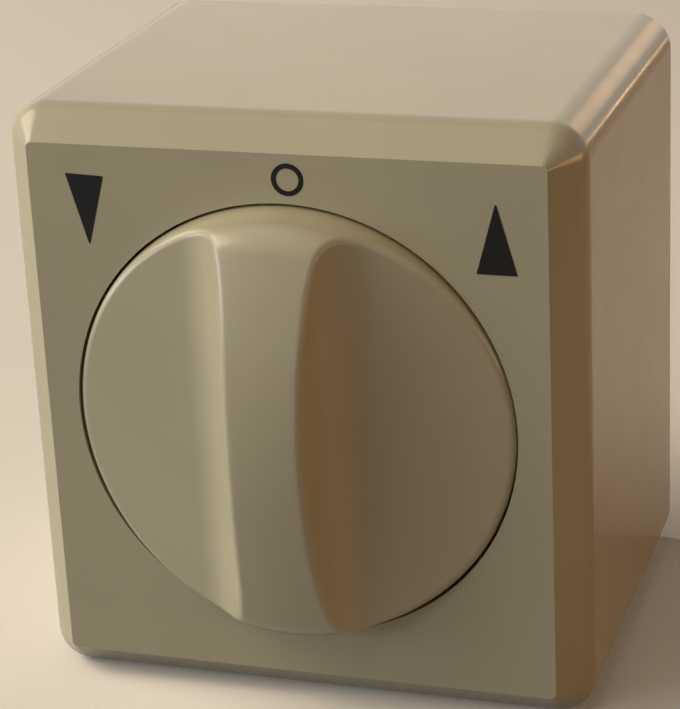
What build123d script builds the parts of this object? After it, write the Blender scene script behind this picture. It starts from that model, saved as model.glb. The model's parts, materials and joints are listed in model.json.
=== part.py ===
from build123d import *
import math
import os

# Rotary switch for a roller shutter, mounted on a wall, with a large round knob.
# Frame: the origin is the centre of the wall plane, +X right, +Z up, and the knob
# looks along -Y. A "stand" is a plane's distance from the wall. Lengths are millimetres.

# Cover
cover_width = 70.0
cover_height = 74.0
cover_depth = 54.0
cover_corner = 4.5
bevel = 3.75
bevel_round = 3.8
inner_bevel = 1.7
side_wall = 2.4
core_draft = 0.4
front_wall = 3.0
guide_rib = 1.4
guide_rib_reach = 2.0
guide_rib_offset = 19.0
knockout_width = 16.0
knockout_depth = 11.0
knockout_web = 0.9

# Knob, heights above the cover's front face
knob_radius = 27.0
knob_height = 11.25
knob_wall = 2.2
side_foot = 0.35
shoulder_radius = 25.6
shoulder_height = 5.6
shoulder_round = 5.0
ridge_half_width = 7.1
ridge_draft = 0.22
ridge_edge_round = 1.1
scoop_foot = 3.0
scoop_slope = 0.148
scoop_blend = 8.0
skirt_depth = 5.5
hub_radius = 6.2
hub_drop = 9.8
hub_bore_depth = 17.5
knob_rib = 1.2
rib_drop = 4.0

# Well in the cover that the knob turns in
knob_gap = 0.3
well_depth = 7.0
well_floor = 2.2
well_wall = 1.8
well_bore = 7.2

# Screws that hold the cover, under the knob
cover_screw_offset = 24.0
cover_screw_radius = 1.5
cover_screw_length = 18.0
cover_head_radius = 2.8
cover_head_height = 2.0
cover_boss_wall = 1.5
cover_boss_depth = 4.4

# Base plate
plate_thickness = 3.0
plate_fit = 0.25
plate_rim = 1.6
plate_rim_height = 8.0
plate_room_corner = 0.8
post_radius = 4.0
post_fin = 1.4
post_fin_height = 24.0
wall_slot_spacing = 56.0
wall_slot_length = 8.0
wall_slot_width = 4.2
wall_slot_pad = 1.2
wall_slot_rim = 2.0
cable_width = 24.0
cable_height = 14.0
cable_drop = 14.0
cable_collar = 1.4
cable_corner = 3.0

# Switch block
block_setback = 18.0
block_depth = 16.0
block_width = 37.0
block_top = 18.0
block_bottom = 20.0
block_corner = 1.5
chamber_radius = 11.5
chamber_bed = 4.0
spring_room = 0.4
side_room_start = 6.5
side_room_top = 2.5
middle_room_half = 4.6
detent_room_half = 13.2
detent_room = 1.6
tail_fit = 0.1
stop_fit = 0.3
lid_thickness = 2.4
collar_radius = 6.0
collar_height = 2.6
lid_lap = 11.9
ear_radius = 4.0
ear_thickness = 3.0
ear_offset = 11.0
ear_reach = 3.5
pillar_radius = 3.6

# Spindle and rotor
turn = 45.0
spindle_radius = 3.0
spindle_flat = 2.2
spindle_fit = 0.03
spindle_foot = 2.8
spindle_rise = 7.0
spindle_bevel = 0.5
clip_radius = 4.6
clip_thickness = 0.7
clip_groove = 0.7
clip_play = 0.15
clip_fit = 0.02
rotor_play = 0.2
star_radius = 9.5
star_thickness = 4.0
drum_radius = 8.5
drum_length = 7.4
notch_depth = 1.2
notch_round = 1.8
lug_width = 4.4
lug_reach = 11.2
stop_slack = 1.0
stop_width = 3.0
segment_thickness = 0.8
segment_width = 5.6
segment_half_angle = 50.0

# Springs and contacts
detent_thickness = 0.4
detent_width = 3.2
detent_line = 11.4
detent_nose = 0.9
detent_half_span = 15.2
detent_fit = 0.05
contact_thickness = 0.5
contact_width = 4.6
contact_touch = 0.06
contact_nose = 1.5
contact_rise = 35.0
side_leg_low = 6.2
side_leg_high = 3.2
side_tail = 1.4
middle_leg_near = 3.0
middle_leg_far = 2.6
side_contact_angle = 15.0
bend = 0.6

# Terminals
terminal_pitch = 11.0
terminal_width = 7.0
terminal_height = 6.3
terminal_depth = 8.0
terminal_fit = 0.2
terminal_setback = 2.0
terminal_bevel = 0.3
pocket_wall = 1.4
wire_radius = 1.6
wire_mouth = 2.0
terminal_screw_radius = 1.3
terminal_head_radius = 2.4
terminal_head_height = 1.6
terminal_screw_length = 3.0

# Small screws of the block
lid_screw_radius = 0.95
lid_screw_length = 8.0
lid_head_radius = 1.8
lid_head_height = 1.2
lid_screw_inset = 2.4
lid_screw_low = 7.5
body_screw_radius = 1.45
body_screw_length = 11.0
body_head_radius = 2.7
body_head_height = 1.8
screw_fit = 0.03
head_fit = 0.2
screw_slot = 0.7

# Knob clip
knob_clip_thickness = 0.35
knob_clip_width = 4.0
knob_clip_length = 10.0
knob_clip_bow = 1.0
knob_clip_fit = 0.1
knob_clip_room = 3.0

# Planes that follow from the sizes above
face_stand = cover_depth
well_stand = face_stand - well_depth
boss_foot = well_stand - cover_boss_depth
block_front = face_stand - block_setback
block_back = block_front - block_depth
chamber_stand = block_back + chamber_bed
rotor_foot = chamber_stand + rotor_play
spindle_tip = face_stand + spindle_rise
drum_foot = rotor_foot + star_thickness
rotor_top = drum_foot + drum_length
lid_front = block_front + lid_thickness
collar_front = lid_front + collar_height
clip_stand = collar_front + clip_play
hub_foot = face_stand - hub_drop
skirt_foot = face_stand - skirt_depth
contact_stand = drum_foot + 0.5 * (drum_length - contact_width)
segment_stand = drum_foot + 0.5 * (drum_length - segment_width)
terminal_front = block_front - terminal_setback
terminal_back = terminal_front - terminal_depth
terminal_top = pocket_wall - block_bottom + terminal_height
wire_stand = terminal_back + 0.45 * terminal_depth
tail_line = terminal_top + 0.5 * contact_thickness
ear_top = block_top + ear_reach
ear_low = -block_bottom - ear_reach


def facing(stand, x=0.0, z=0.0):
    """Plane at a stand from the wall: its first axis is +X, its second +Z, its normal -Y."""
    return Plane(origin=(x, -stand, z), x_dir=(1, 0, 0), z_dir=(0, -1, 0))


def rod(stand, length, radius, x=0.0, z=0.0):
    """Round bar that starts at a stand and grows towards the knob."""
    return extrude(facing(stand, x, z) * Circle(radius), amount=length)


def block(stand, length, low, high):
    """Box over a stretch of stands, between two corners (x, z)."""
    width = high[0] - low[0]
    height = high[1] - low[1]
    middle = facing(stand, 0.5 * (low[0] + high[0]), 0.5 * (low[1] + high[1]))
    return extrude(middle * Rectangle(width, height), amount=length)


def turned(part, degrees):
    """The part turned about the knob's axis, anticlockwise as seen from the front."""
    return part.rotate(Axis.Y, -degrees)


def polar(radius, degrees):
    """Point (x, z) at a radius and an angle from +X towards +Z."""
    return (radius * math.cos(math.radians(degrees)), radius * math.sin(math.radians(degrees)))


def strip(points, thickness, stand, width, radii):
    """Sheet-metal strip on edge: a bent line with a thickness, as wide as its stretch of stands."""
    line = FilletPolyline(*points, radius=radii)
    return extrude(facing(stand) * trace(line, thickness), amount=width)


def pan_screw(stand, x, z, head_radius, head_height, shank_radius, length):
    """Slotted screw whose head sits at a stand and whose shank runs towards the wall."""
    head = rod(stand, head_height, head_radius, x, z)
    shank = rod(stand - length, length, shank_radius, x, z)
    depth = 0.5 * head_height
    half = 0.5 * screw_slot
    reach = 2 * head_radius
    slot = block(stand + depth, head_height, (x - reach, z - half), (x + reach, z + half))
    return head + shank - slot


def cavity_outline(stand):
    """Outline of the cover's hollow, which widens towards the wall so that the mould lets go."""
    width = 2 * cover_half(stand, cover_width)
    height = 2 * cover_half(stand, cover_height)
    return facing(stand) * RectangleRounded(width, height, cover_corner - side_wall)


def cover_half(stand, overall):
    """Half of the hollow's width or height at a stand."""
    return 0.5 * overall - side_wall + core_draft * (1 - stand / cover_depth)


def cover_shell():
    """One-piece cap: bevelled and rounded towards the front, hollow and open at the wall."""
    outline = facing(0) * RectangleRounded(cover_width, cover_height, cover_corner)
    outer = extrude(outline, amount=cover_depth)
    front = outer.faces().sort_by(Axis.Y)[0]
    outer = chamfer(front.edges(), bevel)
    bevel_line = bevel - cover_depth
    outer_loop = outer.edges().filter_by(lambda edge: abs(edge.center().Y - bevel_line) < 0.05)
    outer = fillet(outer_loop, min(bevel_round, cover_corner - 0.3))
    hollow = loft([cavity_outline(0), cavity_outline(cover_depth - front_wall)])
    inner_front = hollow.faces().sort_by(Axis.Y)[0]
    hollow = chamfer(inner_front.edges(), min(inner_bevel, 0.9 * (cover_corner - side_wall)))
    return outer - hollow


def guide_ribs():
    """Ribs inside the walls that rest on the base plate's rim."""
    length = cover_depth - front_wall - plate_rim_height
    side = cover_half(plate_rim_height, cover_width)
    end = cover_half(plate_rim_height, cover_height)
    half = 0.5 * guide_rib
    ribs = []
    for place in (-guide_rib_offset, guide_rib_offset):
        for way in (-1, 1):
            across = sorted([way * (side - guide_rib_reach), way * (side + 0.5 * side_wall)])
            upright = sorted([way * (end - guide_rib_reach), way * (end + 0.5 * side_wall)])
            low, high = (across[0], place - half), (across[1], place + half)
            ribs.append(block(plate_rim_height, length, low, high))
            low, high = (place - half, upright[0]), (place + half, upright[1])
            ribs.append(block(plate_rim_height, length, low, high))
    return ribs


def housing_cover():
    cover = cover_shell()
    for rib in guide_ribs():
        cover = cover + rib
    hole = knob_radius + knob_gap
    cup_foot = well_stand - well_floor
    cover = cover + rod(cup_foot, face_stand - 0.5 * front_wall - cup_foot, hole + well_wall)
    boss_radius = cover_head_radius + cover_boss_wall
    for side in (-1, 1):
        cover = cover + rod(boss_foot, well_stand - boss_foot, boss_radius, side * cover_screw_offset)
    cover = cover - rod(well_stand, 2 * well_depth, hole)
    cover = cover - rod(boss_foot, 2 * well_depth, well_bore)
    head_seat = well_stand - cover_head_height
    for side in (-1, 1):
        place = side * cover_screw_offset
        cover = cover - rod(boss_foot - 1, 2 * cover_boss_depth, cover_screw_radius + screw_fit, place)
        cover = cover - rod(head_seat, 2 * cover_head_height, cover_head_radius + head_fit, place)
    half = 0.5 * knockout_width
    outside = -0.5 * cover_height
    thin = block(-1, knockout_depth + 1, (-half, outside + knockout_web), (half, outside + 2 * side_wall))
    return cover - thin


def slot_at(stand, length, z, wide, long):
    """Upright slot through a stretch of stands."""
    return extrude(facing(stand, 0, z) * SlotOverall(long, wide, rotation=90), amount=length)


def base_plate():
    half_x = cover_half(plate_rim_height, cover_width) - plate_fit
    half_z = cover_half(plate_rim_height, cover_height) - plate_fit
    corner = cover_corner - side_wall
    outline = facing(0) * RectangleRounded(2 * half_x, 2 * half_z, corner)
    plate = extrude(outline, amount=plate_rim_height)
    room_x, room_z = half_x - plate_rim, half_z - plate_rim
    room = facing(plate_thickness) * RectangleRounded(2 * room_x, 2 * room_z, plate_room_corner)
    plate = plate - extrude(room, amount=plate_rim_height)
    pad_height = plate_thickness + wall_slot_pad
    pad_length = wall_slot_length + 2 * wall_slot_rim
    inside = extrude(outline, amount=pad_height)
    for side in (-1, 1):
        plate = plate + cover_post(side, half_x)
        place = side * 0.5 * wall_slot_spacing
        pad = slot_at(0, pad_height, place, wall_slot_width + 2 * wall_slot_rim, pad_length)
        plate = plate + (pad & inside)
    for x, z in body_screw_places():
        plate = plate + rod(0, block_back, pillar_radius, x, z)
    grow = 2 * cable_collar
    collar = RectangleRounded(cable_width + grow, cable_height + grow, cable_corner + cable_collar)
    plate = plate + extrude(facing(0, 0, -cable_drop) * collar, amount=plate_thickness + cable_collar)
    mouth = facing(-1, 0, -cable_drop) * RectangleRounded(cable_width, cable_height, cable_corner)
    plate = plate - extrude(mouth, amount=plate_thickness + cable_collar + 2)
    head_seat = well_stand - cover_head_height
    pilot = head_seat - cover_screw_length
    for side in (-1, 1):
        place = side * 0.5 * wall_slot_spacing
        plate = plate - slot_at(-1, pad_height + 2, place, wall_slot_width, wall_slot_length)
        place = side * cover_screw_offset
        plate = plate - rod(pilot, cover_screw_length, cover_screw_radius + screw_fit, place)
    for x, z in body_screw_places():
        pilot = block_back - body_screw_length
        plate = plate - rod(pilot, body_screw_length + 1, body_screw_radius + screw_fit, x, z)
    half = 0.5 * knockout_width
    web_line = knockout_web - 0.5 * cover_height
    tab_half = half - plate_fit
    plate = plate + block(0, plate_thickness, (-tab_half, web_line + plate_fit), (tab_half, 1 - half_z))
    return plate - block(plate_thickness, plate_rim_height, (-half, -2 * half_z), (half, plate_rim - half_z))


def cover_post(side, half_x):
    """Post that takes a cover screw, stiffened by a fin out to the rim."""
    place = side * cover_screw_offset
    post = rod(0, boss_foot, post_radius, place)
    reach = sorted([place, side * (half_x - 0.5 * plate_rim)])
    half = 0.5 * post_fin
    fin = block(0, plate_rim_height, (reach[0], -half), (reach[1], half))
    span = post_radius + post_fin
    upper = block(0, post_fin_height, (place - span, -half), (place + span, half))
    return post + fin + upper


def body_screw_places():
    """Ears of the switch block, at two opposite corners."""
    return [(-ear_offset, ear_top), (ear_offset, ear_low)]


def terminal_places():
    return [-terminal_pitch, 0.0, terminal_pitch]


def lid_screw_places():
    edge = 0.5 * block_width - lid_screw_inset
    return [(x, z) for x in (-edge, edge) for z in (block_top - lid_screw_inset, -lid_screw_low)]


def switch_body():
    outline = facing(block_back, 0, 0.5 * (block_top - block_bottom))
    outline = outline * RectangleRounded(block_width, block_top + block_bottom, block_corner)
    body = extrude(outline, amount=block_depth)
    for x, z in body_screw_places():
        low_z, high_z = sorted([z - math.copysign(ear_reach + ear_radius, z), z])
        neck = block(block_back, ear_thickness, (x - ear_radius, low_z), (x + ear_radius, high_z))
        body = body + rod(block_back, ear_thickness, ear_radius, x, z) + neck
        body = body - rod(block_back - 1, ear_thickness + 2, body_screw_radius + screw_fit, x, z)
    body = body - rod(chamber_stand, block_depth, chamber_radius)
    lug_half = math.degrees(math.atan(0.5 * lug_width / star_radius))
    stop_half = math.degrees(math.atan(0.5 * stop_width / star_radius))
    stop_angle = lug_half + turn + stop_slack + stop_half
    inner = star_radius + stop_fit
    for side in (-1, 1):
        stop = block(chamber_stand - 1, star_thickness, (inner, -0.5 * stop_width),
                     (chamber_radius + 0.5, 0.5 * stop_width))
        body = body + turned(stop, 270 + side * stop_angle)
    body = body - rod(chamber_stand - spindle_foot, block_depth, spindle_radius + spindle_fit)
    depth = block_front - contact_stand + spring_room
    inner_top = terminal_top + contact_thickness + tail_fit
    for side in (-1, 1):
        near, far = sorted([side * side_room_start, side * (terminal_pitch + 0.5 * terminal_width)])
        body = body - block(block_front - depth, depth + 1, (near, terminal_top), (far, side_room_top))
    low, high = (-middle_room_half, terminal_top), (middle_room_half, -drum_radius)
    body = body - block(block_front - depth, depth + 1, low, high)
    for x in terminal_places():
        reach = 0.5 * terminal_width + terminal_fit
        low = (x - reach, pocket_wall - block_bottom)
        body = body - block(terminal_back, block_front, low, (x + reach, inner_top))
        body = body - Pos(x, -wire_stand, -block_bottom) * Cylinder(wire_mouth, 4 * pocket_wall)
    groove = detent_thickness + 2 * detent_fit
    level = rotor_foot + 0.5 * (star_thickness - detent_width) - detent_fit
    low, high = (-detent_room_half, 0), (detent_room_half, detent_line + detent_room)
    sweep = block(level, block_depth, low, high)
    ends = block(level, block_depth, (-detent_half_span, detent_line - 0.5 * groove),
                 (detent_half_span, detent_line + 0.5 * groove))
    body = body - sweep - ends
    for x, z in lid_screw_places():
        body = body - rod(lid_front - lid_screw_length, lid_screw_length, lid_screw_radius + screw_fit, x, z)
    return body


def switch_lid():
    half = 0.5 * block_width
    lid = block(block_front, lid_thickness, (-half, -lid_lap), (half, block_top))
    corners = lid.edges().filter_by(Axis.Y).group_by(Axis.Z)[-1]
    lid = fillet(corners, block_corner)
    lid = lid + rod(block_front, lid_thickness + collar_height, collar_radius)
    lid = lid - rod(block_front - 1, 3 * lid_thickness + collar_height, spindle_radius + spindle_fit)
    for x, z in lid_screw_places():
        lid = lid - rod(block_front - 1, 3 * lid_thickness, lid_screw_radius + screw_fit, x, z)
    return lid


def spindle():
    """D shaft: round where it turns in the block and the lid, flat where it drives."""
    foot = chamber_stand - spindle_foot + rotor_play
    shaft = rod(foot, spindle_tip - foot, spindle_radius)
    shaft = chamfer(shaft.faces().sort_by(Axis.Y)[0].edges(), spindle_bevel)
    side = 2 * spindle_radius
    for start, end in ((rotor_foot, rotor_top), (hub_foot - 1, spindle_tip + 1)):
        shaft = shaft - block(start, end - start, (spindle_flat, -side), (side, side))
    groove = rod(clip_stand, clip_thickness, 2 * spindle_radius)
    return shaft - (groove - rod(clip_stand, clip_thickness, spindle_radius - clip_groove))


def spindle_clip():
    """Flat retaining ring, open on one side, in the spindle's groove."""
    ring = rod(clip_stand + clip_fit, clip_thickness - 2 * clip_fit, clip_radius)
    ring = ring - rod(clip_stand, clip_thickness, spindle_radius - clip_groove + spindle_fit)
    mouth = 0.8 * (spindle_radius - clip_groove)
    return ring - block(clip_stand, clip_thickness, (-mouth, -2 * clip_radius), (mouth, 0))


def d_bore(start, end):
    """Cutter for a hole that fits the D shaft."""
    side = 2 * spindle_radius
    hole = rod(start, end - start, spindle_radius + spindle_fit)
    return hole - block(start, end - start, (spindle_flat + spindle_fit, -side), (side, side))


def segment_sector(inner, outer, half_angle, stand, width):
    """Arc about the bottom of the drum."""
    ring = rod(stand, width, outer) - rod(stand, width, inner)
    wedge = [(0, 0), polar(3 * outer, 270 - half_angle), polar(3 * outer, 270 + half_angle)]
    return ring & extrude(facing(stand) * make_face(Polyline(*wedge, close=True)), amount=width)


def rotor():
    """Moulded drum: notches and stop lug at its foot, a seat for the brass arc above them."""
    star = rod(rotor_foot, star_thickness, star_radius)
    for angle in (90 - turn, 90, 90 + turn):
        x, z = polar(star_radius - notch_depth + notch_round, angle)
        star = star - rod(rotor_foot, star_thickness, notch_round, x, z)
    half = 0.5 * lug_width
    lug = block(rotor_foot, star_thickness, (-half, -lug_reach), (half, 0))
    drum = rod(drum_foot, drum_length, drum_radius)
    seat = segment_sector(drum_radius - segment_thickness, 2 * drum_radius, segment_half_angle,
                          segment_stand, segment_width)
    return star + lug + drum - seat - d_bore(rotor_foot - 1, rotor_top + 1)


def contact_segment():
    fit = spindle_fit
    return segment_sector(drum_radius - segment_thickness + fit, drum_radius, segment_half_angle - 0.3,
                          segment_stand + fit, segment_width - 2 * fit)


def nose_points(angle, leg_in, leg_out):
    """Three points of a contact spring that touches the drum at an angle."""
    rise = math.radians(contact_rise)
    lift = contact_nose * (1 / math.cos(rise) - 1)
    reach = drum_radius + contact_touch + 0.5 * contact_thickness - lift
    out = polar(1, angle)
    along = polar(1, angle + 90)
    tip = polar(reach, angle)
    points = []
    for leg in (-leg_in, 0, leg_out):
        sideways = leg * math.cos(rise)
        outward = abs(leg) * math.sin(rise)
        points.append((tip[0] + sideways * along[0] + outward * out[0],
                       tip[1] + sideways * along[1] + outward * out[1]))
    return points


def side_contact(side):
    """Spring from the left or right terminal up to the drum's side."""
    nose = nose_points(-side_contact_angle, side_leg_low, side_leg_high)
    tail = [(terminal_pitch - 0.35 * terminal_width, tail_line), (terminal_pitch + side_tail, tail_line)]
    points = [(side * x, z) for x, z in tail + nose]
    return strip(points, contact_thickness, contact_stand, contact_width, [bend, bend, contact_nose])


def common_contact():
    """Spring from the middle terminal to the bottom of the drum."""
    nose = nose_points(270, middle_leg_near, middle_leg_far)
    tail = [(0.4 * terminal_width, tail_line), (-0.5 * terminal_width, tail_line)]
    radii = [0.7 * bend, bend, contact_nose]
    return strip(tail + nose, contact_thickness, contact_stand, contact_width, radii)


def detent_spring():
    """Leaf across the chamber, its nose in the rotor's middle notch."""
    lift = detent_nose * (math.sqrt(2) - 1)
    valley = star_radius - notch_depth + detent_fit + 0.5 * detent_thickness - lift
    spread = detent_line - valley
    end = detent_half_span - 0.1
    points = [(x, detent_line) for x in (-end, -spread, spread, end)]
    points.insert(2, (0, valley))
    level = rotor_foot + 0.5 * (star_thickness - detent_width)
    return strip(points, detent_thickness, level, detent_width, [bend, detent_nose, bend])


def terminal(x):
    """Brass clamp block with a wire hole from below and a tapped hole from the front."""
    half = 0.5 * terminal_width
    low = (x - half, terminal_top - terminal_height)
    clamp = block(terminal_back, terminal_depth, low, (x + half, terminal_top))
    clamp = chamfer(clamp.faces().sort_by(Axis.Y)[0].edges(), terminal_bevel)
    middle = terminal_top - 0.5 * terminal_height
    clamp = clamp - Pos(x, -wire_stand, middle) * Cylinder(wire_radius, 2 * terminal_height)
    return clamp - rod(wire_stand, terminal_depth, terminal_screw_radius + screw_fit, x, middle)


def terminal_screws():
    middle = terminal_top - 0.5 * terminal_height
    return [pan_screw(terminal_front, x, middle, terminal_head_radius, terminal_head_height,
                      terminal_screw_radius, terminal_screw_length) for x in terminal_places()]


def cover_screws():
    return [pan_screw(well_stand - cover_head_height, side * cover_screw_offset, 0, cover_head_radius,
                      cover_head_height, cover_screw_radius, cover_screw_length) for side in (-1, 1)]


def lid_screws():
    return [pan_screw(lid_front, x, z, lid_head_radius, lid_head_height, lid_screw_radius,
                      lid_screw_length) for x, z in lid_screw_places()]


def body_screws():
    stand = block_back + ear_thickness
    return [pan_screw(stand, x, z, body_head_radius, body_head_height, body_screw_radius,
                      body_screw_length) for x, z in body_screw_places()]


def knob_dome(inset):
    """Body of revolution of the knob: skirt, steep side, soft shoulder and shallow crown."""
    rise = knob_height - shoulder_height
    crown = (shoulder_radius ** 2 + rise ** 2) / (2 * rise)
    top = knob_height - inset
    radius = knob_radius - inset
    edge = shoulder_radius - 0.55 * inset
    shoulder = top - crown + math.sqrt(crown ** 2 - edge ** 2)
    half = 0.5 * edge
    middle = top - crown + math.sqrt(crown ** 2 - half ** 2)
    foot = -skirt_depth if inset == 0 else -skirt_depth - 1
    upright = Plane(origin=(0, -face_stand, 0), x_dir=(0, 0, -1), z_dir=(-1, 0, 0))
    crown_line = ThreePointArc((0, top), (half, middle), (edge, shoulder))
    side_line = Polyline((edge, shoulder), (radius, -side_foot), (radius, foot), (0, foot), (0, top))
    dome = revolve(upright * make_face(crown_line + side_line), Axis.Y)
    line = -face_stand - shoulder
    shoulder_edge = dome.edges().filter_by(lambda e: abs(e.center().Y - line) < 0.01)
    return fillet(shoulder_edge, shoulder_round)


def scoop_cutter(side, inset):
    """Dished hollow beside the grip ridge: a drafted wall that runs into a nearly flat floor."""
    outside = 2 * knob_radius
    high = 3 * knob_height
    foot_x = ridge_half_width - ridge_draft * scoop_foot
    wall_x = ridge_half_width - ridge_draft * high
    floor_end = scoop_foot - scoop_slope * (outside - foot_x)
    points = [(wall_x, high), (foot_x, scoop_foot), (outside, floor_end), (outside, high)]
    section = Polyline(*[(side * x, -face_stand - h) for x, h in points], close=True)
    section = make_face(section)
    corner = section.vertices().sort_by_distance((side * foot_x, -face_stand - scoop_foot))[0]
    section = fillet(corner, scoop_blend)
    if inset > 0:
        section = offset(section, amount=inset, kind=Kind.INTERSECTION)
    return extrude(section, amount=2 * knob_radius, both=True)


def knob_form(inset=0.0):
    form = knob_dome(inset)
    for side in (-1, 1):
        form = form - scoop_cutter(side, inset)
    return form


def knob():
    """Hollow moulded knob with a hub, four ribs and a pocket for its clip."""
    outer = knob_form()
    crests = outer.edges().filter_by(GeomType.CIRCLE).filter_by(lambda e: abs(e.center().X) > 1)
    crests = crests.filter_by(lambda e: e.center().Y < -face_stand - 0.5 * knob_height)
    outer = fillet(crests, ridge_edge_round)
    core = knob_form(knob_wall)
    hub = rod(hub_foot, 2 * hub_drop + knob_height, hub_radius)
    half = 0.5 * knob_rib
    reach = knob_radius - 0.5 * knob_wall
    rib_foot = face_stand - rib_drop
    ribs = block(rib_foot, 2 * knob_height, (-reach, -half), (reach, half))
    ribs = ribs + block(rib_foot, 2 * knob_height, (-half, -reach), (half, reach))
    stem = rod(hub_foot, skirt_foot - hub_foot + 1, hub_radius)
    body = outer - (core - hub - ribs) + stem
    body = body - d_bore(hub_foot - 1, hub_foot + hub_bore_depth)
    reach = 0.5 * knob_clip_width + knob_clip_fit
    depth = knob_clip_length + knob_clip_room
    far = spindle_flat + knob_clip_thickness + knob_clip_bow + 2 * knob_clip_fit
    return body - block(hub_foot - 1, depth, (0, -reach), (far, reach))


def knob_clip():
    """Bowed leaf that presses on the spindle's flat."""
    near = spindle_flat + knob_clip_fit + 0.5 * knob_clip_thickness
    far = near + knob_clip_bow
    start = hub_foot + 1
    middle = start + 0.5 * knob_clip_length
    bow = ThreePointArc((far, -start), (near, -middle), (far, -start - knob_clip_length))
    leaf = trace(bow, knob_clip_thickness)
    return extrude(leaf, amount=0.5 * knob_clip_width, both=True)


def save(name, shape):
    if isinstance(shape, list):
        shape = Compound(children=shape)
    export_step(shape, "parts/" + name + ".step")


os.makedirs("parts", exist_ok=True)
save("housing_cover", housing_cover())
save("cover_screws", cover_screws())
save("base_plate", base_plate())
save("switch_body", switch_body())
save("switch_lid", switch_lid())
save("lid_screws", lid_screws())
save("body_screws", body_screws())
save("down_terminal", terminal(-terminal_pitch))
save("common_terminal", terminal(0.0))
save("up_terminal", terminal(terminal_pitch))
save("terminal_screws", terminal_screws())
save("down_contact", side_contact(-1))
save("common_contact", common_contact())
save("up_contact", side_contact(1))
save("detent_spring", detent_spring())
save("rotor", rotor())
save("contact_segment", contact_segment())
save("spindle", spindle())
save("spindle_clip", spindle_clip())
save("knob", knob())
save("knob_clip", knob_clip())
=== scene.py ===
import json
import math

import bpy
from mathutils import Matrix, Vector


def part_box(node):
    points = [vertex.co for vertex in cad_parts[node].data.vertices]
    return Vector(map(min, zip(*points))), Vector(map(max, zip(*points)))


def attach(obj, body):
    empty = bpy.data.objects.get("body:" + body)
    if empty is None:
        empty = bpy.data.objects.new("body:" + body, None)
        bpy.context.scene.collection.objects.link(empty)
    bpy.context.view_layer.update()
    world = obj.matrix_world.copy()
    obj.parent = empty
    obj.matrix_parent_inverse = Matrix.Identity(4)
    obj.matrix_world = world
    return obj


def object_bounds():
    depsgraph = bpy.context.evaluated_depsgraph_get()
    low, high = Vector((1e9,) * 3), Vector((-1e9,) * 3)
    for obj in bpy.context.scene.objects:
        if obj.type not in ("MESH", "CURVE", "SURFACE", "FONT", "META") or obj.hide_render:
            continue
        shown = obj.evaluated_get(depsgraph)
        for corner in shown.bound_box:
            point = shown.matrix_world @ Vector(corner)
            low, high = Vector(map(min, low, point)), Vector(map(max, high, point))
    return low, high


# Rotary switch for a roller shutter: finish of its pieces, printed marks and studio.
# Lengths are in metres and colours are linear. The origin is the centre of the wall plane,
# and the knob looks along -Y.

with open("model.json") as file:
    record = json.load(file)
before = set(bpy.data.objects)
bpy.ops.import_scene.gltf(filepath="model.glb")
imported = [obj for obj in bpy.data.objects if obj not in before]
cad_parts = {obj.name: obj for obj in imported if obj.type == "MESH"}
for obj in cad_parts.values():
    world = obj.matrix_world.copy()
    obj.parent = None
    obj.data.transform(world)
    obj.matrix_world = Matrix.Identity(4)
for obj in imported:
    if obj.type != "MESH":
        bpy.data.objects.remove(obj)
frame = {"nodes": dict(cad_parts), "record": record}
cad_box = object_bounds()

MM = 0.001

# Camera at the photograph's viewpoint; lens and sensor in millimetres
CAMERA_PLACE = Vector((91.97, -311.38, 115.97)) * MM
CAMERA_TARGET = Vector((6.26, -54.0, 9.24)) * MM
CAMERA_ROLL = math.radians(-2.85)
CAMERA_LENS = 132.97
CAMERA_SENSOR = 36
CAMERA_NEAR = 0.01

# Plastics, by slot: name, colour, roughness, depth of the moulded skin
CREAM = (0.50, 0.472, 0.342)
SHADED_CREAM = tuple(0.95 * c for c in CREAM)
PLASTICS = {
    "cover": ("cream_cover", CREAM, 0.22, 0.01 * MM),
    "knob": ("cream_knob", CREAM, 0.22, 0.01 * MM),
    "base": ("cream_base", SHADED_CREAM, 0.5, 0.03 * MM),
    "block": ("dark_block", (0.02, 0.02, 0.021), 0.45, 0.03 * MM),
    "lid": ("grey_lid", (0.045, 0.045, 0.047), 0.45, 0.03 * MM),
    "rotor": ("white_rotor", (0.68, 0.67, 0.62), 0.4, 0.02 * MM),
}
CLOUD_WAVES = 45
GLOSS_WAVES = 160
SKIN_WAVES = 2600
SKIN_STRENGTH = 0.2

# Metals, by slot: name, colour, roughness
METALS = {
    "brass": ("brass", (0.72, 0.50, 0.22), 0.28),
    "bronze": ("bronze", (0.62, 0.34, 0.18), 0.3),
    "steel": ("plated_steel", (0.60, 0.61, 0.63), 0.3),
    "spring": ("spring_steel", (0.42, 0.43, 0.45), 0.25),
}
STAIN_WAVES = 500
STAIN_SHADE = 0.86
STAIN_ROUGHNESS = 0.12
LINE_WAVES = 900
LINE_STRETCH = (1, 0.06, 1)
LINE_DEPTH = 0.02 * MM

# Printing ink
INK = (0.004, 0.004, 0.005)
INK_SHEEN = 0.2
INK_ROUGHNESS = (0.45, 0.6)
INK_GLOSS_WAVES = 3500
INK_SKIN_WAVES = 5000
INK_DEPTH = 0.01 * MM

# Edges that turn by more than this stay hard
HARD_EDGE = math.radians(25)
WELD_REACH = 0.001 * MM

# Printed marks on the cover's face: places seen from the front, from the knob's axis
FACE_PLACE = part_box("housing_cover")[0].y
MARK_RISE = 0.03 * MM
MARK_CORNER = 0.12 * MM
DOWN_MARK = [(-26.5, 29.7), (-24.1, 20.8), (-21.7, 29.5)]
UP_MARK = [(22.9, 20.2), (27.7, 20.2), (25.3, 28.8)]
OFF_MARK_CENTRE = (0.97, 30.2)
OFF_MARK_RADII = (1.95, 1.35)

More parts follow.
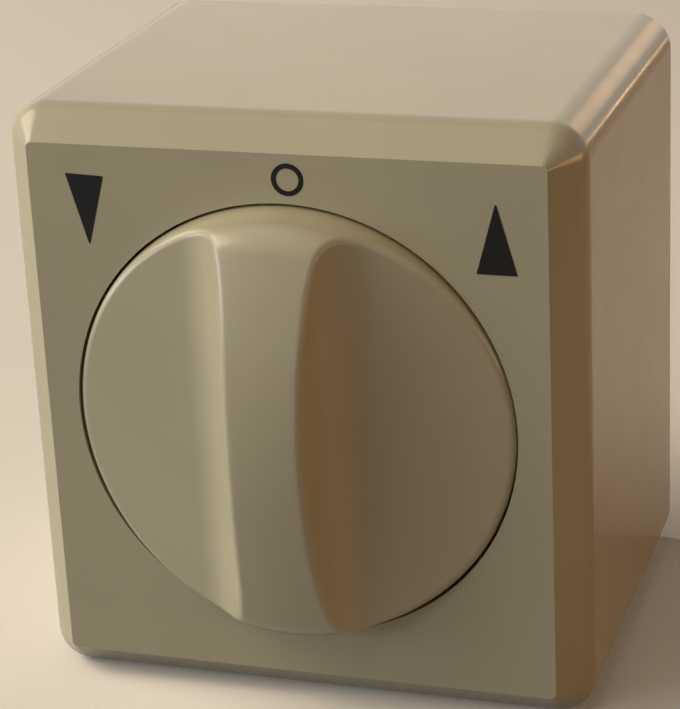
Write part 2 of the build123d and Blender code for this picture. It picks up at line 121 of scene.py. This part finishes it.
# Lamps: name, place, width, height, power in watts, colour
COOL = (0.88, 0.96, 1.0)
WARM = (1.0, 0.83, 0.63)
TUNGSTEN = (1.0, 0.50, 0.18)
PEACH = (1.0, 0.66, 0.38)
LAMP_TARGET = Vector((0, -0.03, 0))
LAMPS = [
    ("ceiling", (-0.4, -0.47, 1.1), 1.2, 1.2, 3.6, WARM),
    ("high_window", (-0.9, -0.21, 0.7), 0.7, 0.7, 9.0, WARM),
    ("low_window", (-1.2, -0.37, 0.08), 0.8, 0.22, 3.15, COOL),
    ("front_window", (-0.84, -0.87, 0.32), 0.6, 0.7, 2.15, COOL),
    ("table_lamp", (0.9, -0.07, 0.06), 0.6, 0.1, 1.3, TUNGSTEN),
    ("front_lamp", (1.0, -0.77, 0.12), 0.6, 0.24, 0.55, TUNGSTEN),
    ("back_window", (-0.1, 1.23, 0.5), 1.0, 0.8, 0.45, PEACH),
    ("back_lamp", (0.39, 1.47, 0.443), 0.4, 0.4, 0.85, PEACH),
    ("far_bulb", (0.28, 0.68, 0.0), 0.02, 0.02, 0.04, PEACH),
]

# Room and floor: their seen colours, the floor's own glow and the light it throws back
BLACK = (0.0, 0.0, 0.0)
ROOM = (1.0, 0.96, 0.88)
FLOOR = (0.97, 0.97, 0.96)
FLOOR_GLOW = (0.05, 0.045, 0.04)
FLOOR_BOUNCE = (0.25, 0.24, 0.23)
FLOOR_ROUGHNESS = 0.9
FLOOR_SIZE = 6


# Materials

def material(name, colour, roughness, metallic=0.0):
    """A plain material of one colour and roughness, with its graph and its surface."""
    made = bpy.data.materials.new(name)
    made.use_nodes = True
    shader = made.node_tree.nodes["Principled BSDF"]
    shader.inputs["Base Color"].default_value = (*colour, 1)
    shader.inputs["Roughness"].default_value = roughness
    shader.inputs["Metallic"].default_value = metallic
    return made, made.node_tree, shader


def noise(tree, waves, detail=2.0, rough=0.5, stretch=(1, 1, 1)):
    """Noise that keeps its place on the piece, with so many waves per metre."""
    place = tree.nodes.new("ShaderNodeTexCoord")
    mapping = tree.nodes.new("ShaderNodeMapping")
    mapping.inputs["Scale"].default_value = stretch
    made = tree.nodes.new("ShaderNodeTexNoise")
    made.inputs["Scale"].default_value = waves
    made.inputs["Detail"].default_value = detail
    made.inputs["Roughness"].default_value = rough
    tree.links.new(place.outputs["Object"], mapping.inputs["Vector"])
    tree.links.new(mapping.outputs["Vector"], made.inputs["Vector"])
    return made.outputs["Fac"]


def ramp(tree, source, low, high, start=0.35, end=0.65):
    """Value or colour that runs from low to high as the source goes from start to end."""
    made = tree.nodes.new("ShaderNodeValToRGB")
    stops = made.color_ramp.elements
    stops[0].position = start
    stops[1].position = end
    for stop, value in ((stops[0], low), (stops[1], high)):
        stop.color = (*value, 1) if isinstance(value, tuple) else (value, value, value, 1)
    tree.links.new(source, made.inputs["Fac"])
    return made.outputs["Color"]


def bump(tree, shader, height, depth, strength):
    """Relief of the given depth in metres on the surface."""
    made = tree.nodes.new("ShaderNodeBump")
    made.inputs["Distance"].default_value = depth
    made.inputs["Strength"].default_value = strength
    tree.links.new(height, made.inputs["Height"])
    tree.links.new(made.outputs["Normal"], shader.inputs["Normal"])


def shade(colour, factor):
    return tuple(factor * c for c in colour)


def moulded_plastic(name, colour, roughness, skin_depth):
    """Injection-moulded plastic: faint cloudiness, patches of gloss and a fine skin."""
    made, tree, shader = material(name, colour, roughness)
    cloud = ramp(tree, noise(tree, CLOUD_WAVES, 3.0), shade(colour, 0.97), shade(colour, 1.03))
    gloss = ramp(tree, noise(tree, GLOSS_WAVES, 3.0), roughness - 0.02, roughness + 0.03)
    tree.links.new(cloud, shader.inputs["Base Color"])
    tree.links.new(gloss, shader.inputs["Roughness"])
    bump(tree, shader, noise(tree, SKIN_WAVES), skin_depth, SKIN_STRENGTH)
    return made


def drawn_metal(name, colour, roughness):
    """Plated or rolled metal: fine lines along one way and small stains."""
    made, tree, shader = material(name, colour, roughness, 1.0)
    stain = noise(tree, STAIN_WAVES, 3.0)
    tint = ramp(tree, stain, shade(colour, STAIN_SHADE), colour)
    gloss = ramp(tree, stain, roughness + STAIN_ROUGHNESS, roughness)
    tree.links.new(tint, shader.inputs["Base Color"])
    tree.links.new(gloss, shader.inputs["Roughness"])
    bump(tree, shader, noise(tree, LINE_WAVES, 2.0, 0.6, LINE_STRETCH), LINE_DEPTH, 0.3)
    return made


def printed_ink():
    """Black printing ink, nearly matt."""
    made, tree, shader = material("black_print", INK, INK_ROUGHNESS[0])
    shader.inputs["Specular IOR Level"].default_value = INK_SHEEN
    gloss = ramp(tree, noise(tree, INK_GLOSS_WAVES), *INK_ROUGHNESS)
    tree.links.new(gloss, shader.inputs["Roughness"])
    bump(tree, shader, noise(tree, INK_SKIN_WAVES), INK_DEPTH, 0.3)
    return made


def even_shading(piece):
    """Flat faces shade flat and round ones smoothly: seams welded, hard edges split."""
    weld = piece.modifiers.new("weld", "WELD")
    weld.merge_threshold = WELD_REACH
    split = piece.modifiers.new("split", "EDGE_SPLIT")
    split.split_angle = HARD_EDGE
    even = piece.modifiers.new("even", "WEIGHTED_NORMAL")
    even.mode = "FACE_AREA"
    even.weight = 100


def finish_nodes():
    """Gives every piece the finish of its slot."""
    finishes = {slot: moulded_plastic(*row) for slot, row in PLASTICS.items()}
    finishes.update({slot: drawn_metal(*row) for slot, row in METALS.items()})
    slots = {row["node"]: row["material_slot"] for row in frame["record"]["subparts"]}
    for name, piece in frame["nodes"].items():
        piece.data.materials.clear()
        piece.data.materials.append(finishes[slots[name]])
        even_shading(piece)


# Printed marks

def circle(centre, radius, steps=64):
    turns = [2 * math.pi * i / steps for i in range(steps)]
    return [(centre[0] + radius * math.cos(t), centre[1] + radius * math.sin(t)) for t in turns]


def softened(corners, radius, steps=6):
    """The outline through the corners, each rounded by an arc of the given radius."""
    outline = []
    count = len(corners)
    for i in range(count):
        corner = Vector(corners[i])
        before = (Vector(corners[i - 1]) - corner).normalized()
        after = (Vector(corners[(i + 1) % count]) - corner).normalized()
        half = 0.5 * before.angle(after)
        middle = corner + (before + after).normalized() * radius / math.sin(half)
        start = corner + before * radius / math.tan(half) - middle
        end = corner + after * radius / math.tan(half) - middle
        for step in range(steps + 1):
            spoke = start.lerp(end, step / steps).normalized() * radius
            outline.append(tuple(middle + spoke))
    return outline


def mark(name, outlines, ink):
    """A thin print on the cover's face; an outline inside another one is a hole."""
    data = bpy.data.curves.new(name, "CURVE")
    data.dimensions = "2D"
    data.fill_mode = "BOTH"
    data.extrude = MARK_RISE
    for outline in outlines:
        line = data.splines.new("POLY")
        line.points.add(len(outline) - 1)
        line.use_cyclic_u = True
        for point, (x, z) in zip(line.points, outline):
            point.co = (x, z, 0, 1)
    drawn = bpy.data.objects.new(name + "_outline", data)
    made = bpy.data.objects.new(name, bpy.data.meshes.new_from_object(drawn))
    bpy.data.objects.remove(drawn)
    bpy.context.scene.collection.objects.link(made)
    upright = Matrix.Rotation(math.radians(90), 4, "X")
    made.matrix_world = Matrix.Translation((0, FACE_PLACE, 0)) @ upright
    made.data.materials.append(ink)
    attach(made, "housing")


def marks():
    """Down arrow on the left, off ring on top and up arrow on the right."""
    ink = printed_ink()
    for name, corners in (("down_mark", DOWN_MARK), ("up_mark", UP_MARK)):
        places = [(x * MM, z * MM) for x, z in corners]
        mark(name, [softened(places, MARK_CORNER)], ink)
    centre = [c * MM for c in OFF_MARK_CENTRE]
    mark("off_mark", [circle(centre, radius * MM) for radius in OFF_MARK_RADII], ink)


# Studio

def lamp(name, place, width, height, power, colour):
    """A soft rectangular lamp that faces the switch and isn't seen itself."""
    data = bpy.data.lights.new(name, "AREA")
    data.shape = "RECTANGLE"
    data.size = width
    data.size_y = height
    data.energy = power
    data.color = colour
    made = bpy.data.objects.new(name, data)
    bpy.context.scene.collection.objects.link(made)
    made.location = place
    made.visible_camera = False
    made.rotation_euler = (LAMP_TARGET - Vector(place)).to_track_quat("-Z", "Y").to_euler()


def seen_ray(tree):
    """1 where the surface is seen: straight on, in a gloss or through glass."""
    path = tree.nodes.new("ShaderNodeLightPath")
    seen = path.outputs["Is Camera Ray"]
    for kind in ("Is Glossy Ray", "Is Transmission Ray"):
        either = tree.nodes.new("ShaderNodeMath")
        either.operation = "MAXIMUM"
        tree.links.new(seen, either.inputs[0])
        tree.links.new(path.outputs[kind], either.inputs[1])
        seen = either.outputs["Value"]
    return seen


def seen_mix(tree, unseen, shown):
    """The shown colour where it is seen, and the unseen one where it only lights the object."""
    mix = tree.nodes.new("ShaderNodeMix")
    mix.data_type = "RGBA"
    mix.inputs["A"].default_value = (*unseen, 1)
    mix.inputs["B"].default_value = (*shown, 1)
    tree.links.new(seen_ray(tree), mix.inputs["Factor"])
    return mix.outputs["Result"]


def background():
    world = bpy.data.worlds.new("room")
    bpy.context.scene.world = world
    world.use_nodes = True
    tree = world.node_tree
    tree.links.new(seen_mix(tree, BLACK, ROOM), tree.nodes["Background"].inputs["Color"])


def floor():
    """Pale matt floor that the switch stands on."""
    bpy.ops.mesh.primitive_plane_add(size=FLOOR_SIZE, location=(0, 0, cad_box[0].z))
    made = bpy.context.object
    made.name = "floor"
    paint, tree, shader = material("pale_floor", FLOOR, FLOOR_ROUGHNESS)
    shader.inputs["Specular IOR Level"].default_value = 0.0
    tree.links.new(seen_mix(tree, FLOOR_BOUNCE, FLOOR), shader.inputs["Base Color"])
    tree.links.new(seen_mix(tree, BLACK, FLOOR_GLOW), shader.inputs["Emission Color"])
    shader.inputs["Emission Strength"].default_value = 1.0
    made.data.materials.append(paint)


def camera():
    data = bpy.data.cameras.new("camera")
    data.sensor_fit = "HORIZONTAL"
    data.sensor_width = CAMERA_SENSOR
    data.lens = CAMERA_LENS
    data.clip_start = CAMERA_NEAR
    made = bpy.data.objects.new("camera", data)
    bpy.context.scene.collection.objects.link(made)
    aim = (CAMERA_TARGET - CAMERA_PLACE).to_track_quat("-Z", "Y").to_matrix()
    turn = Matrix.Rotation(CAMERA_ROLL, 3, "Z")
    made.matrix_world = Matrix.Translation(CAMERA_PLACE) @ (aim @ turn).to_4x4()
    bpy.context.scene.camera = made


bpy.context.scene.view_settings.view_transform = "Standard"
finish_nodes()
marks()
for row in LAMPS:
    lamp(*row)
background()
floor()
camera()
